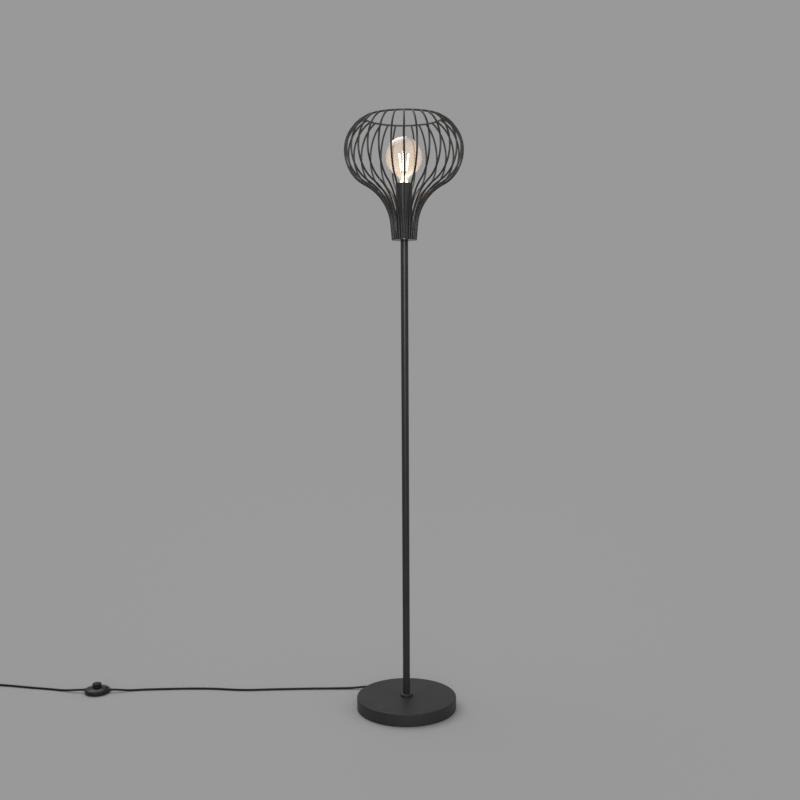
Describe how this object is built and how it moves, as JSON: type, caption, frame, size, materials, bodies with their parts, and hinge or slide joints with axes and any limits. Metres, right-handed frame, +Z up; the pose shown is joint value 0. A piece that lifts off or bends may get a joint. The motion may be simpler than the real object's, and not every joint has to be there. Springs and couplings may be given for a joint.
{
  "type": "floor lamp",
  "caption": "Floor lamp with an onion-shaped wire cage around a globe bulb, a plain round pole, a weighted disc base, and a cord with a foot switch and plug.",
  "frame": {"origin": "centre of the base's underside, on the floor, on the pole's axis", "axes": "+Z up along the pole; the front faces -Y; the cord leaves the base at the back left and lies towards -X"},
  "size_m": [1.4382, 0.332, 1.525],
  "materials": {
    "black_coat": "matte fine-textured powder coat",
    "zinc_steel": "bright zinc-plated steel",
    "iron": "rough casting, primed",
    "felt": "matte felt",
    "white_ceramic": "glazed ceramic",
    "black_holder": "satin moulded",
    "brass": "plain pressed brass",
    "lamp_glass": "clear, smooth",
    "cap_metal": "nickel-plated",
    "filament": "phosphor coating, glowing when lit",
    "black_glass": "smooth",
    "cord_pvc": "satin PVC",
    "switch_black": "satin moulded",
    "core_insulation": "plain"
  },
  "bodies": {
    "lamp": {"base_cover": "black_coat", "pole": "black_coat", "pole_foot_ring": "black_coat", "cage_disc": "black_coat", "cage_wires": "black_coat", "cage_rim_ring": "black_coat", "lampholder_sleeve": "black_coat", "base_bottom_plate": "zinc_steel", "base_washer": "zinc_steel", "base_nut": "zinc_steel", "base_nipple": "zinc_steel", "pole_foot_bush": "zinc_steel", "pole_head_bush": "zinc_steel", "holder_washer": "zinc_steel", "holder_nut": "zinc_steel", "holder_nipple": "zinc_steel", "holder_terminal_screws": "zinc_steel", "switch_screws": "zinc_steel", "switch_spring": "zinc_steel", "switch_contact_screws": "zinc_steel", "base_weight": "iron", "base_felt_pad": "felt", "switch_pad": "felt", "holder_cap": "black_holder", "holder_barrel": "black_holder", "holder_insert": "white_ceramic", "holder_thread_shell": "brass", "holder_centre_contact": "brass", "switch_contacts": "brass", "plug_pins": "cap_metal", "inner_cord": "cord_pvc", "cord_gland": "cord_pvc", "cord_lead": "cord_pvc", "cord_tail": "cord_pvc", "cord_coil": "cord_pvc", "cord_end": "cord_pvc", "cord_tie": "cord_pvc", "switch_base": "switch_black", "switch_cover": "switch_black", "switch_block": "switch_black", "switch_grommets": "switch_black", "plug_body": "switch_black", "plug_pin_sleeves": "switch_black", "switch_leads": "core_insulation", "holder_leads": "core_insulation"},
    "button": {"switch_button": "switch_black", "switch_plunger": "switch_black"},
    "bulb": {"bulb_globe": "lamp_glass", "bulb_cap": "cap_metal", "bulb_insulator": "black_glass", "bulb_contact": "brass", "bulb_stem": "lamp_glass", "bulb_filaments": "filament", "bulb_filament_supports": "zinc_steel"}
  },
  "joints": [
    {"name": "button_press", "type": "slide", "parent": "lamp", "child": "button", "axis": [0, 0, -1], "range_m": [0, 0.004], "stiffness_N_per_m": 2000, "deforming": ["switch_spring"]},
    {"name": "bulb_turn", "type": "hinge", "parent": "lamp", "child": "bulb", "pos_m": [0, 0, 1.368], "axis": [0, 0, 1], "range_deg": [0, 90]}
  ]
}
